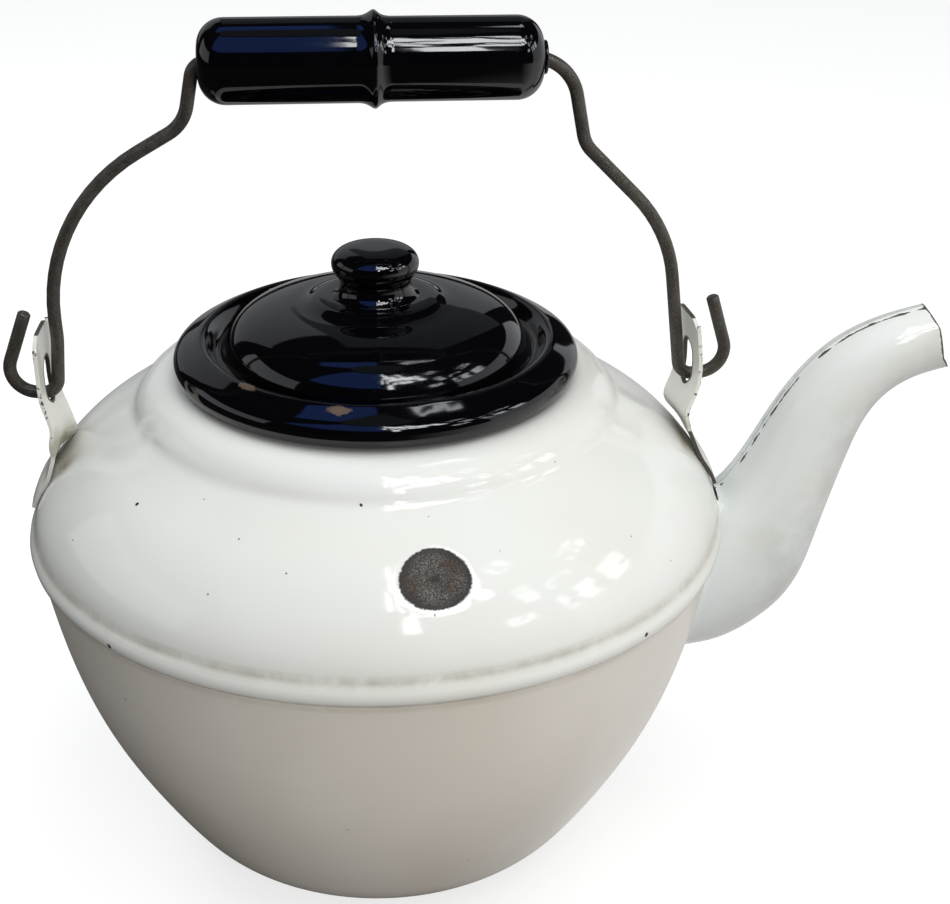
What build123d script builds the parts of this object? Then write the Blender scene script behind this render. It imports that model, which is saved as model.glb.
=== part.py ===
from build123d import *
import math
import os

# An enamelled sheet-steel kettle with a swinging bail, in millimetres.
# The origin is the centre of the base. X points to the spout, the front is -Y and Z is up.

# Sheet, enamel and fits
WALL = 1.2
WELD_GAP = 0.1
SEAT_GAP = 0.3
WIRE_RADIUS = 2.0

# Bowl, the lower body
BASE_RADIUS = 50.0
BOWL_RADIUS = 107.9
BOWL_HEIGHT = 108.2
RIM_OVERHANG = 0.8
# Share of the way from base to rim: outwards, upwards
BOWL_CURVE = [(0.130, 0.015), (0.261, 0.050), (0.416, 0.149),
              (0.584, 0.300), (0.765, 0.499), (0.910, 0.748)]
# Direction of the wall at the rim: outwards, upwards
RIM_DIRECTION = (0.17, 0.985)

# Belly seam, where the shoulder's hem is folded round the bowl's rim
BEAD_HEIGHT = 6.4
HEM_STEP = 0.2
BEAD_BULGE = 1.9

# Shoulder, the upper body
SHOULDER_HEIGHT = 37.6
# Share of the way from belly to collar: inwards, upwards
SHOULDER_CURVE = [(0.050, 0.200), (0.218, 0.440), (0.492, 0.678), (0.833, 0.888)]
COLLAR_DIRECTION = (-0.80, 0.60)

# Raised collar round the mouth, on which the lid sits
COLLAR_TOP_RADIUS = 62.0
COLLAR_SPREAD = 12.6
COLLAR_HEIGHT = 8.5
COLLAR_SWELL = 2.3
MOUTH_LEDGE = 8.4
MOUTH_ROUND = 2.6
MOUTH_DEPTH = 9.0

# Spout, pressed in two halves and welded on the middle plane.
# Each station: upper and lower outline point, both out from the bowl's rim and up from the seam,
# then the half width across.
SPOUT_STATIONS = [
    ((-17.9, -4.6), (-17.9, -59.6), 20.0),
    ((3.1, -1.8), (9.1, -52.6), 19.5),
    ((5.7, 1.2), (26.7, -38.3), 18.0),
    ((10.3, 7.8), (35.1, -15.8), 15.6),
    ((18.5, 23.4), (40.8, 5.5), 13.2),
    ((27.4, 37.9), (45.7, 22.2), 11.6),
    ((38.5, 49.1), (52.7, 33.0), 10.6),
    ((52.1, 56.2), (61.4, 38.6), 9.8),
    ((67.7, 60.6), (76.1, 42.8), 9.2),
]
LIP_TOP = (65.3, 59.8)
LIP_NOTCH = (69.5, 47.8)
LIP_BEAK = (74.6, 42.0)
LIP_SLANT = 0.35
SPOUT_HOLE_RADIUS = 16.0
SPOUT_HOLE_DROP = 30.6

# Ears, the strips that carry the bail
EAR_FRONT_INSET = 9.7
EAR_REAR_INSET = 7.1
EAR_WIDTH = 22.0
EAR_CORNER = 6.0
EAR_TOP_RISE = 21.1
EAR_FRONT_LEAN = 1.5
EAR_REAR_LEAN = -0.3
EAR_FRONT_TWIST = 6.5
EAR_REAR_TWIST = 3.5
# Share of the way along the shoulder's curve
FOOT_START = 0.12
FOOT_END = 0.53
# Share of the way from the foot to the bail's axis: outwards, upwards
EAR_BENDS = [(0.18, 0.16), (0.42, 0.5), (0.94, 1.0)]
EAR_SLICES = 12
SLOT_WIDTH = 8.6
SLOT_HEIGHT = 14.5
SLOT_PLAY = 0.9

# Bail, one wire with a hook at each end
BAIL_AXIS_RISE = 3.2
GRIP_RISE = 100.8
GRIP_HALF_LENGTH = 49.5
# Each bend: distance out and up from its anchor, bend radius
FRONT_NECK_BENDS = [((8.1, 0.0), 14.0), ((13.1, -26.0), 10.0)]
FRONT_LEG_BENDS = [((-8.9, 47.6), 45.0), ((-3.0, -0.5), 4.5), ((13.5, 0.8), 8.0)]
FRONT_TIP = (5.9, 25.6)
REAR_NECK_BENDS = [((1.2, 0.0), 5.0), ((4.7, -18.0), 12.0)]
REAR_LEG_BENDS = [((-3.5, 57.7), 57.0), ((-4.7, 17.1), 30.0), ((-3.3, -0.5), 4.5), ((13.7, 0.6), 8.0)]
REAR_TIP = (4.2, 26.0)

# Grip, two hollow shells that meet in a raised ridge
GRIP_REAR_RADIUS = 12.3
GRIP_FRONT_RADIUS = 12.1
GRIP_SEAM_X = 0.7
GRIP_END_ROUND = 7.8
GRIP_END_HOLE = 4.0
RIDGE_HEIGHT = 1.8

# Lid, pressed from one sheet with a rolled rim, a gutter and a low dome
LID_OVERHANG = 0.2
RIM_ROLL = 4.4
# Angles of the rolled rim: start below, inside, and sweep over the outside
ROLL_START = 215.0
ROLL_SWEEP = 210.0
RIM_RISE = 3.0
RIM_WIDTH = 8.6
RIDGE_ROUND = 1.8
GUTTER_WIDTH = 5.2
GUTTER_Z_UP = 6.0
GUTTER_ROUND = 1.0
DOME_STEP = 2.0
DOME_FOOT = 3.0
DOME_HEIGHT = 21.4
# Share of the way from the dome's foot to its crown: inwards, upwards
DOME_CURVE = [(0.085, 0.35), (0.237, 0.63), (0.536, 0.87)]
BOSS_RADIUS = 20.0
BOSS_APRON = 4.0
BOSS_HEIGHT = 2.2
BOSS_FLARE = 1.0
BOSS_ROUNDS = (1.5, 2.5)
SKIRT_GAP = 0.6
SKIRT_DEPTH = 12.0
SKIRT_ROUND = 2.0

# Knob, a hollow pressing welded to the boss
KNOB_RADIUS = 13.3
KNOB_NECK_RADIUS = 10.7
KNOB_FOOT_RADIUS = 11.8
KNOB_HEIGHT = 15.2
# Share of the knob's height: foot, neck, under the head, widest, shoulder
KNOB_LEVELS = (0.118, 0.237, 0.495, 0.64, 0.88)
KNOB_UNDERCUT = 0.6
KNOB_CROWN = 0.84

# Sizes that follow from the ones above
SHOULDER_RADIUS = BOWL_RADIUS + HEM_STEP
BEAD_RADIUS = SHOULDER_RADIUS + BEAD_BULGE
COLLAR_FOOT_RADIUS = COLLAR_TOP_RADIUS + COLLAR_SPREAD
MOUTH_RADIUS = COLLAR_TOP_RADIUS - MOUTH_LEDGE
LID_RADIUS = COLLAR_TOP_RADIUS + LID_OVERHANG
RIDGE_RADIUS = LID_RADIUS - RIM_WIDTH
GUTTER_RADIUS = RIDGE_RADIUS - GUTTER_WIDTH
DOME_RADIUS = GUTTER_RADIUS - DOME_STEP
EAR_FRONT_X = SHOULDER_RADIUS - EAR_FRONT_INSET
EAR_REAR_X = SHOULDER_RADIUS - EAR_REAR_INSET
SEAM_TOP_Z = BOWL_HEIGHT + BEAD_HEIGHT
COLLAR_FOOT_Z = SEAM_TOP_Z + SHOULDER_HEIGHT
COLLAR_TOP_Z = COLLAR_FOOT_Z + COLLAR_HEIGHT
SPOUT_HOLE_Z = SEAM_TOP_Z - SPOUT_HOLE_DROP
BAIL_AXIS_Z = COLLAR_FOOT_Z + BAIL_AXIS_RISE
GRIP_AXIS_Z = BAIL_AXIS_Z + GRIP_RISE
EAR_TOP_Z = BAIL_AXIS_Z + EAR_TOP_RISE
SLOT_Z = BAIL_AXIS_Z - WIRE_RADIUS - SLOT_PLAY + SLOT_HEIGHT / 2
RIM_ROLL_Z = COLLAR_TOP_Z + SEAT_GAP + RIM_ROLL
CROWN_Z = RIM_ROLL_Z - RIM_ROLL + DOME_HEIGHT
BOSS_TOP_Z = CROWN_Z + BOSS_HEIGHT


def turned(section):
    """Turn a section drawn as (radius, height) about the kettle's upright axis."""
    return revolve(Plane.XZ * section, Axis.Z)


def smooth(points, start, end):
    """A curve through the points that leaves and arrives in the given directions."""
    return Spline(*points, tangents=[start, end], tangent_scalars=[1, 1])


def beside(edge, distance, steps=10):
    """A line, arc or smooth curve that runs at a distance to the left of an edge."""
    def moved(share):
        along = edge % share
        return edge @ share + Vector(-along.Y, along.X) * distance

    if edge.geom_type == GeomType.LINE:
        return Line(moved(0), moved(1))
    if edge.geom_type == GeomType.CIRCLE:
        return ThreePointArc(moved(0), moved(0.5), moved(1))
    return smooth([moved(step / steps) for step in range(steps + 1)], edge % 0, edge % 1)


def pressed(outline, wall=WALL):
    """Section of a sheet whose outer face runs along an outline that has it on its right."""
    inner = [beside(edge, wall) for edge in outline]
    links = [Line(outline[0] @ 0, inner[0] @ 0), Line(outline[-1] @ 1, inner[-1] @ 1)]
    for before, after in zip(inner, inner[1:]):
        if (before @ 1 - after @ 0).length > 0.001:
            links.append(Line(before @ 1, after @ 0))
    return make_face(list(outline) + inner + links)


def bowl_curve():
    """Outer curve of the bowl from the flat base to the seam."""
    reach = BOWL_RADIUS - BASE_RADIUS
    points = [(BASE_RADIUS + out * reach, up * BOWL_HEIGHT) for out, up in BOWL_CURVE]
    return smooth([(BASE_RADIUS, 0)] + points + [(BOWL_RADIUS, BOWL_HEIGHT)], (1, 0), RIM_DIRECTION)


def shoulder_curve():
    """Outer curve of the shoulder from the seam to the foot of the collar."""
    reach = SHOULDER_RADIUS - COLLAR_FOOT_RADIUS
    points = [(SHOULDER_RADIUS - inward * reach, SEAM_TOP_Z + up * SHOULDER_HEIGHT)
              for inward, up in SHOULDER_CURVE]
    return smooth([(SHOULDER_RADIUS, SEAM_TOP_Z)] + points + [(COLLAR_FOOT_RADIUS, COLLAR_FOOT_Z)],
                  (0, 1), COLLAR_DIRECTION)


def rim_corner():
    """Where the bowl's wall turns outwards into its rim, above the hem's lip."""
    rise = WALL + WELD_GAP
    return BOWL_RADIUS + rise * RIM_DIRECTION[0] / RIM_DIRECTION[1], BOWL_HEIGHT + rise


def bowl():
    """Lower body with a flat base, a small rim turned outwards and the hole to the spout."""
    base = Line((0, 0), (BASE_RADIUS, 0))
    corner_x, corner_z = rim_corner()
    rim = FilletPolyline((BOWL_RADIUS, BOWL_HEIGHT), (corner_x, corner_z),
                         (corner_x + RIM_OVERHANG, corner_z), radius=WELD_GAP * 3)
    body = turned(pressed([base, bowl_curve()] + rim.edges()))
    hole = Pos(BOWL_RADIUS, 0, SPOUT_HOLE_Z) * Rot(0, 90, 0) * Cylinder(SPOUT_HOLE_RADIUS, BOWL_RADIUS)
    return body - hole


def hem_section():
    """Section of the shoulder's edge, folded round the rim of the bowl."""
    inner = SHOULDER_RADIUS - WALL
    corner_x, corner_z = rim_corner()
    pocket = corner_x + RIM_OVERHANG + WELD_GAP
    lip = corner_x + WELD_GAP
    lip_top = corner_z - WELD_GAP
    foot = corner_z + WALL + WELD_GAP
    inside = Polyline((SHOULDER_RADIUS, SEAM_TOP_Z), (inner, SEAM_TOP_Z), (inner, foot), (pocket, foot),
                      (pocket, lip_top), (lip, lip_top), (lip, BOWL_HEIGHT))
    bulge = ThreePointArc((lip, BOWL_HEIGHT), (BEAD_RADIUS, BOWL_HEIGHT + BEAD_HEIGHT / 2),
                          (SHOULDER_RADIUS, SEAM_TOP_Z))
    return make_face(inside.edges() + bulge.edges())


def shoulder():
    """Upper body with its hem, the collar and the mouth turned down inside."""
    skin = Line((SHOULDER_RADIUS, SEAM_TOP_Z - WALL), (SHOULDER_RADIUS, SEAM_TOP_Z))
    foot = (COLLAR_FOOT_RADIUS, COLLAR_FOOT_Z)
    crown = (COLLAR_TOP_RADIUS, COLLAR_TOP_Z)
    chord = Vector(*crown) - Vector(*foot)
    middle = (Vector(*foot) + Vector(*crown)) / 2
    swell = middle + Vector(-chord.Y, chord.X).normalized() * -COLLAR_SWELL
    ring = ThreePointArc(foot, swell, crown)
    mouth = FilletPolyline(crown, (MOUTH_RADIUS, COLLAR_TOP_Z),
                           (MOUTH_RADIUS, COLLAR_TOP_Z - MOUTH_DEPTH), radius=MOUTH_ROUND)
    curve = shoulder_curve()
    lap = Line(curve @ 1, curve @ 1 + (curve % 1) * WALL * 1.5)
    collar = pressed([ring] + mouth.edges())
    return turned(pressed([skin, curve, lap])) + turned(collar) + turned(hem_section())


def body_envelope(gap):
    """The body's outer form made solid and grown a little, to cut the spout's root to it."""
    side = beside(bowl_curve(), -gap)
    lip = rim_corner()[0] + WELD_GAP + gap
    wide = SHOULDER_RADIUS + gap
    foot_z = BOWL_HEIGHT - gap
    middle = (BEAD_RADIUS + gap, BOWL_HEIGHT + BEAD_HEIGHT / 2)
    bulge = ThreePointArc((lip, foot_z), middle, (wide, SEAM_TOP_Z))
    top_z = SEAM_TOP_Z + SHOULDER_HEIGHT / 2
    cap = Polyline((wide, SEAM_TOP_Z), (wide, top_z), (0, top_z), (0, -gap), side @ 0)
    step = Polyline(side @ 1, (lip, BOWL_HEIGHT), (lip, foot_z))
    return turned(make_face([side, bulge] + cap.edges() + step.edges()))


def from_seam(place):
    """A place in side view, given out from the bowl's rim and up from the belly seam."""
    return Vector(BOWL_RADIUS + place[0], 0, SEAM_TOP_Z + place[1])


def spout_form(thickness):
    """The spout as a solid, smaller than its outer form by the thickness."""
    sections = []
    for upper, lower, half_width in SPOUT_STATIONS:
        top = from_seam(upper)
        bottom = from_seam(lower)
        half_depth = (top - bottom).length / 2
        across = Plane(origin=(top + bottom) / 2, x_dir=(0, 1, 0),
                       z_dir=(top - bottom).cross(Vector(0, 1, 0)) * -1)
        sections.append(across * Ellipse(half_width - thickness, half_depth - thickness))
    return loft(sections)


def spout():
    """Both halves of the spout: hollow, cut to the body and shaped at the lip."""
    whole = spout_form(0) - body_envelope(WELD_GAP)
    room = BOWL_RADIUS
    top, notch, beak = from_seam(LIP_TOP), from_seam(LIP_NOTCH), from_seam(LIP_BEAK)
    above = top + Vector(-LIP_SLANT * room, 0, room)
    below = beak + Vector(room, 0, -room)
    beyond = [above, top, notch, beak, below, Vector(3 * room, 0, below.Z), Vector(3 * room, 0, above.Z)]
    whole -= extrude(make_face(Polyline(*beyond, close=True).edges()), room, dir=(0, 1, 0), both=True)
    whole -= spout_form(WALL)
    half_room = Box(4 * room, room, 6 * room, align=(Align.CENTER, Align.MIN, Align.CENTER))
    far_half = whole & (Pos(notch.X, WELD_GAP / 2, 0) * half_room)
    near_half = whole & (Pos(notch.X, -WELD_GAP / 2 - room, 0) * half_room)
    return near_half, far_half


def ear(side, ear_x, lean, twist):
    """A strip with its foot on the shoulder and its upright part turned a little; side is 1 or -1."""
    on_skin = shoulder_curve()
    lift = WELD_GAP + WALL / 2
    foot_points = []
    for step in range(5):
        share = FOOT_START + (FOOT_END - FOOT_START) * step / 4
        along = on_skin % share
        foot_points.append(on_skin @ share + Vector(along.Y, -along.X) * lift)
    section = pressed([beside(Spline(*foot_points), -WALL / 2)])
    sector = math.degrees(EAR_WIDTH / COLLAR_FOOT_RADIUS)
    foot = Rot(0, 0, -sector / 2) * revolve(Plane.XZ * section, Axis.Z, sector)
    room = Box(EAR_WIDTH * 2, EAR_WIDTH, SHOULDER_HEIGHT * 2)
    foot = foot & (Pos(ear_x, 0, SEAM_TOP_Z + EAR_WIDTH) * room)

    root = foot_points[-1]
    middle_points = [root * 0.75 + foot_points[-2] * 0.25]
    for out, up in EAR_BENDS:
        middle_points.append((root.X + out * (ear_x - root.X), root.Y + up * (BAIL_AXIS_Z - root.Y)))
    middle_points += [(ear_x, SLOT_Z + SLOT_HEIGHT / 4), (ear_x - lean, EAR_TOP_Z)]
    middle = Spline(*middle_points)
    slices = []
    for step in range(EAR_SLICES + 1):
        place = middle @ (step / EAR_SLICES)
        rise = max(0, place.Y - (middle @ 0).Y) / (BAIL_AXIS_Z - (middle @ 0).Y)
        turn = side * twist * math.sqrt(min(1, rise))
        slices.append(Pos(place.X, 0, place.Y) * Rot(0, 0, turn) * Rectangle(WALL, EAR_WIDTH))
    tall = EAR_TOP_Z - SEAM_TOP_Z
    face = Pos(0, EAR_TOP_Z - tall / 2) * RectangleRounded(EAR_WIDTH, tall, EAR_CORNER)
    face -= Pos(0, SLOT_Z) * SlotOverall(SLOT_HEIGHT, SLOT_WIDTH, rotation=90)
    upright = extrude(Plane.YZ * face, ear_x * 2) & loft(slices)
    whole = foot + upright
    return whole if side > 0 else whole.rotate(Axis.Z, 180)


def bail_wire():
    """One wire: hook, ear, leg, neck, through the grip, and the same again on the other side."""
    def leg(side, ear_x, neck, legs, tip):
        corners = [(side * (GRIP_HALF_LENGTH + out), GRIP_AXIS_Z + up, bend) for (out, up), bend in neck]
        corners += [(side * (ear_x + out), BAIL_AXIS_Z + up, bend) for (out, up), bend in legs]
        end = (side * (ear_x + tip[0]), BAIL_AXIS_Z + tip[1])
        return corners, end

    front, front_end = leg(1, EAR_FRONT_X, FRONT_NECK_BENDS, FRONT_LEG_BENDS, FRONT_TIP)
    rear, rear_end = leg(-1, EAR_REAR_X, REAR_NECK_BENDS, REAR_LEG_BENDS, REAR_TIP)
    corners = front[::-1] + rear
    points = [front_end] + [(x, z) for x, z, _ in corners] + [rear_end]
    radii = [bend for _, _, bend in corners]
    path = Plane.XZ * FilletPolyline(*points, radius=radii)
    start = Plane(origin=path @ 0, z_dir=path % 0)
    return sweep(start * Circle(WIRE_RADIUS), path=path)


def grip_shell(side, radius):
    """Half of the grip: a hollow cup with a hole for the wire and a flared mouth at the ridge."""
    length = GRIP_HALF_LENGTH - side * GRIP_SEAM_X
    mouth_x = WELD_GAP / 2 + WALL
    cup = FilletPolyline((length, GRIP_END_HOLE), (length, radius), (mouth_x + RIDGE_HEIGHT, radius),
                         radius=GRIP_END_ROUND)
    flare = JernArc((mouth_x + RIDGE_HEIGHT, radius), (-1, 0), RIDGE_HEIGHT, -90)
    shell = revolve(pressed(cup.edges() + [flare]), Axis.X)
    if side < 0:
        shell = shell.rotate(Axis.Z, 180)
    return Pos(GRIP_SEAM_X, 0, GRIP_AXIS_Z) * shell


def lid_shell():
    """Lid with a hollow rolled rim, a rising ridge, a gutter and a dome with a flat boss."""
    roll = CenterArc((LID_RADIUS - RIM_ROLL, RIM_ROLL_Z), RIM_ROLL, ROLL_START, ROLL_SWEEP)
    ridge_z = RIM_ROLL_Z + RIM_ROLL + RIM_RISE
    gutter_z = COLLAR_TOP_Z + GUTTER_Z_UP
    side_z = gutter_z + DOME_FOOT
    waves = FilletPolyline(roll @ 1, (RIDGE_RADIUS, ridge_z), (GUTTER_RADIUS, gutter_z),
                           (DOME_RADIUS, side_z), radius=[RIDGE_ROUND, GUTTER_ROUND])
    crown = (BOSS_RADIUS + BOSS_APRON, CROWN_Z)
    domed = [(DOME_RADIUS - inward * (DOME_RADIUS - crown[0]), side_z + up * (CROWN_Z - side_z))
             for inward, up in DOME_CURVE]
    dome = smooth([waves @ 1] + domed + [crown], waves % 1, (-1, 0.06))
    boss = FilletPolyline(dome @ 1, (BOSS_RADIUS + BOSS_FLARE, CROWN_Z + BOSS_HEIGHT * 0.09),
                          (BOSS_RADIUS - BOSS_FLARE, BOSS_TOP_Z), (0, BOSS_TOP_Z), radius=BOSS_ROUNDS)
    return turned(pressed([roll] + waves.edges() + [dome] + boss.edges()))


def lid_skirt():
    """Ring under the lid that keeps it centred in the mouth."""
    outer = MOUTH_RADIUS - SKIRT_GAP
    seat_z = COLLAR_TOP_Z + GUTTER_Z_UP - WALL - WELD_GAP
    inner = GUTTER_RADIUS - 2 * WALL
    foot = (outer, seat_z - WALL - SKIRT_DEPTH)
    path = FilletPolyline(foot, (outer, seat_z), (inner, seat_z), radius=SKIRT_ROUND)
    return turned(pressed(path.edges()))


def lid_knob():
    """Hollow knob with a foot ring, a short neck and a flattened head."""
    base_z = BOSS_TOP_Z + WELD_GAP
    foot_z, neck_z, under_z, head_z, crown_z = [base_z + level * KNOB_HEIGHT for level in KNOB_LEVELS]
    outline = smooth([(KNOB_FOOT_RADIUS, base_z), (KNOB_FOOT_RADIUS, foot_z), (KNOB_NECK_RADIUS, neck_z),
                      (KNOB_RADIUS - KNOB_UNDERCUT, under_z), (KNOB_RADIUS, head_z),
                      (KNOB_RADIUS * KNOB_CROWN, crown_z), (0, base_z + KNOB_HEIGHT)], (0, 1), (-1, 0))
    return turned(pressed([outline]))


def write(name, solid):
    """Name a piece and write it as one file."""
    solid.label = name
    export_step(solid, f"parts/{name}.step")
    print(name, round(solid.volume / 1000, 2), "cm3, solids", len(solid.solids()))


os.makedirs("parts", exist_ok=True)
near_half, far_half = spout()
write("bowl", bowl())
write("shoulder", shoulder())
write("spout_near_half", near_half)
write("spout_far_half", far_half)
write("ear_front", ear(1, EAR_FRONT_X, EAR_FRONT_LEAN, EAR_FRONT_TWIST))
write("ear_rear", ear(-1, EAR_REAR_X, EAR_REAR_LEAN, EAR_REAR_TWIST))
write("bail_wire", bail_wire())
write("grip_rear_shell", grip_shell(-1, GRIP_REAR_RADIUS))
write("grip_front_shell", grip_shell(1, GRIP_FRONT_RADIUS))
write("lid_shell", lid_shell())
write("lid_skirt", lid_skirt())
write("lid_knob", lid_knob())
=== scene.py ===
# %% [markdown]
# # A white enamelled kettle with a black lid
# The kettle is pressed from thin sheet steel and dipped in glass enamel. A measured solid
# model gives every size and place. This notebook dresses it: each sheet gets the soft bends
# of pressed metal, and each surface gets its glaze, its chips, and its grime and painted shade.

import math

import bmesh
import bpy
import numpy as np
from mathutils import Matrix, Vector, noise


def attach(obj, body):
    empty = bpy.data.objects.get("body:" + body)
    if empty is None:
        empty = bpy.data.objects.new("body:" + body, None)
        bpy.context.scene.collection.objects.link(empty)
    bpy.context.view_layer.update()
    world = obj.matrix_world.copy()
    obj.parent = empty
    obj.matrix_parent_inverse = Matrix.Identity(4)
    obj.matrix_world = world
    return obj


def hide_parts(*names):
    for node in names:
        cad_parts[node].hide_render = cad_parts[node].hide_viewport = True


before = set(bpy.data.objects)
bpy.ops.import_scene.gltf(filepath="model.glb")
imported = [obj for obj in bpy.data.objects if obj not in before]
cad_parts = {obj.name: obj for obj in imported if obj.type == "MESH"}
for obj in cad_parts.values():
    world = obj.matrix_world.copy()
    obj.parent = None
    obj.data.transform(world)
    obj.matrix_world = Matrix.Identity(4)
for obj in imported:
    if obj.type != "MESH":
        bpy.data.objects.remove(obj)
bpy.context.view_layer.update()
MM = 0.001

# %% Small helpers
def put(name, data):
    """Make an object of some data and place it in the scene."""
    made = bpy.data.objects.new(name, data)
    bpy.context.scene.collection.objects.link(made)
    return made


def swell(value, middle, width):
    """1 at the middle, falling off softly to both sides."""
    return math.exp(-((value - middle) / width) ** 2)


def clamp(value):
    """The value held between 0 and 1."""
    return max(0.0, min(1.0, value))


def outward(point):
    """The level direction from the axis to a point."""
    return Vector((point.x, point.y, 0)).normalized()


print("swell test", round(swell(1.0, 0.0, 2.0), 3), "clamp test", clamp(1.5))

# %% [markdown]
# ## Camera
# The photograph was taken by hand, from in front of the kettle and above it. Its angles were
# worked out from the rings of the lid, the mouth and the belly seam, which show as ellipses.
# A camera could be dragged into place, but a matrix built from three angles says exactly how
# it looks: down by the pitch, aside by the yaw, and tipped a little by the roll.

# %% Camera
CAMERA_PLACE = Vector((-0.01827, -0.49835, 0.37888))
PITCH = math.radians(26.458)
YAW = math.radians(5.632)
ROLL = math.radians(0.599)
LENS = 66.32


def camera_matrix():
    """The camera's place and its right, up and back directions."""
    ahead = Vector((math.sin(YAW) * math.cos(PITCH), math.cos(YAW) * math.cos(PITCH), -math.sin(PITCH)))
    level = Vector((math.cos(YAW), -math.sin(YAW), 0))
    upright = level.cross(ahead)
    right = level * math.cos(ROLL) + upright * math.sin(ROLL)
    up = upright * math.cos(ROLL) - level * math.sin(ROLL)
    turned = Matrix((right, up, -ahead)).transposed().to_4x4()
    return Matrix.Translation(CAMERA_PLACE) @ turned


lens = bpy.data.cameras.new("photo_view")
lens.lens = LENS
lens.sensor_width = 36
lens.clip_start = 0.01
photo_camera = put("photo_view", lens)
photo_camera.matrix_world = camera_matrix()
bpy.context.scene.camera = photo_camera
print("camera looks down", round(math.degrees(PITCH), 1), "degrees")

# %% [markdown]
# ## Curves that a press tool would make
# Pressed sheet has no corners: the metal flows over the tool. Blender's own curves could be
# drawn by hand, but these outlines must pass through measured points. A cubic curve through
# the points bends as a thin spring does, so a glossy glaze on it shows no kinks.

# %% Smooth curve through points
def smooth_line(points, spacing, start=None, end=None):
    """Points along a cubic curve through the given points, at about the spacing, in millimetres."""
    knots = np.array(points, float)
    span = np.linalg.norm(np.diff(knots, axis=0), axis=1)
    count = len(knots)
    system = np.eye(count)
    wanted = np.zeros_like(knots)
    for i in range(1, count - 1):
        system[i, i - 1:i + 2] = span[i - 1], 2 * (span[i - 1] + span[i]), span[i]
        wanted[i] = 6 * ((knots[i + 1] - knots[i]) / span[i] - (knots[i] - knots[i - 1]) / span[i - 1])
    if start is not None:
        system[0, :2] = 2 * span[0], span[0]
        wanted[0] = 6 * ((knots[1] - knots[0]) / span[0] - np.array(start) / np.linalg.norm(start))
    if end is not None:
        system[-1, -2:] = span[-1], 2 * span[-1]
        wanted[-1] = 6 * (np.array(end) / np.linalg.norm(end) - (knots[-1] - knots[-2]) / span[-1])
    bend = np.linalg.solve(system, wanted)
    line = []
    for i in range(count - 1):
        steps = max(1, round(span[i] / spacing))
        for step in range(steps):
            ahead = span[i] * step / steps
            left = span[i] - ahead
            line.append((bend[i] * left ** 3 + bend[i + 1] * ahead ** 3) / (6 * span[i])
                        + (knots[i] / span[i] - bend[i] * span[i] / 6) * left
                        + (knots[i + 1] / span[i] - bend[i + 1] * span[i] / 6) * ahead)
    line.append(knots[-1])
    return np.array(line)


print("curve test", len(smooth_line([(0, 0), (5, 2), (9, 9)], 1.0)), "points")

# %% Arcs and rounded corners
def arc(centre, radius, start, sweep, steps):
    """Points on an arc, with angles in degrees."""
    angles = np.radians(start + sweep * np.linspace(0, 1, steps + 1))
    return np.array(centre) + radius * np.stack([np.cos(angles), np.sin(angles)], 1)


def rounded(corners, radii, turn=6.0):
    """A line through corners, each inner one rounded by its radius, a point every few degrees."""
    corners = [np.array(corner, float) for corner in corners]
    line = [corners[0]]
    for before, here, after, radius in zip(corners, corners[1:], corners[2:], radii):
        back = (before - here) / np.linalg.norm(before - here)
        on = (after - here) / np.linalg.norm(after - here)
        half = math.acos(max(-1, min(1, float(back @ on)))) / 2
        middle = here + (back + on) / np.linalg.norm(back + on) * radius / math.sin(half)
        first = here + back * radius / math.tan(half) - middle
        last = here + on * radius / math.tan(half) - middle
        total = math.pi - 2 * half
        steps = max(2, math.ceil(math.degrees(total) / turn))
        for step in range(steps + 1):
            share = step / steps
            line.append(middle + (first * math.sin(total * (1 - share)) + last * math.sin(total * share))
                        / math.sin(total))
    line.append(corners[-1])
    return np.array(line)


print("rounded corner", len(rounded([(0, 0), (10, 0), (10, 10)], [3])), "points")

# %% [markdown]
# ## Sheet metal
# Every body part here is sheet, 1.2 mm thick with its enamel. A Solidify modifier would give
# a surface its thickness. For the turned pieces the section is drawn with its thickness and
# rounded edges at once, because enamel never leaves a square edge.

# %% Section of a sheet
SHEET = 1.2


def sheet_section(outline, thickness=SHEET):
    """Closed section: the outline, a rounded edge, the inner face and a rounded edge."""
    outline = np.array(outline, float)
    along = np.gradient(outline, axis=0)
    along /= np.linalg.norm(along, axis=1)[:, None]
    aside = np.stack([-along[:, 1], along[:, 0]], 1)
    inner = outline + aside * thickness
    inner[:, 0] = np.where(outline[:, 0] < 1e-6, 0, inner[:, 0])
    parts = [outline]
    for end, direction in ((-1, 1), (0, -1)):
        if outline[end, 0] > 1e-6:
            middle = outline[end] + aside[end] * thickness / 2
            angles = np.radians([150, 120, 90, 60, 30] if direction > 0 else [30, 60, 90, 120, 150])
            parts.append(np.array([middle + aside[end] * math.cos(a) * thickness / 2
                                   + along[end] * direction * math.sin(a) * thickness / 2 for a in angles]))
        if end == -1:
            parts.append(inner[::-1])
    return np.concatenate(parts)


print("sheet section", len(sheet_section([(10, 0), (10, 5), (10, 9)])), "points")

# %% [markdown]
# ## Turning a section
# Bowl, shoulder, lid and knob were spun or pressed round, so each is one section turned about
# an axis. The Screw modifier does that too. Here the rings are laid by hand, because each
# point can then be pushed a little, and a hand-dipped kettle is never perfectly round.

# %% Turn a section into a mesh
def finished(shape, name):
    """A mesh made of a bmesh, which is let go."""
    mesh = bpy.data.meshes.new(name)
    shape.to_mesh(mesh)
    shape.free()
    return mesh


def skin(shape, rows, closed=False, flip=False):
    """Faces between neighbouring rows of points; a closed row joins its end to its start."""
    for low, high in zip(rows, rows[1:]):
        for k in range(len(low) - (0 if closed else 1)):
            after = (k + 1) % len(low)
            corners = [low[k], low[after], high[after], high[k]]
            shape.faces.new(corners[::-1] if flip else corners)


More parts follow.
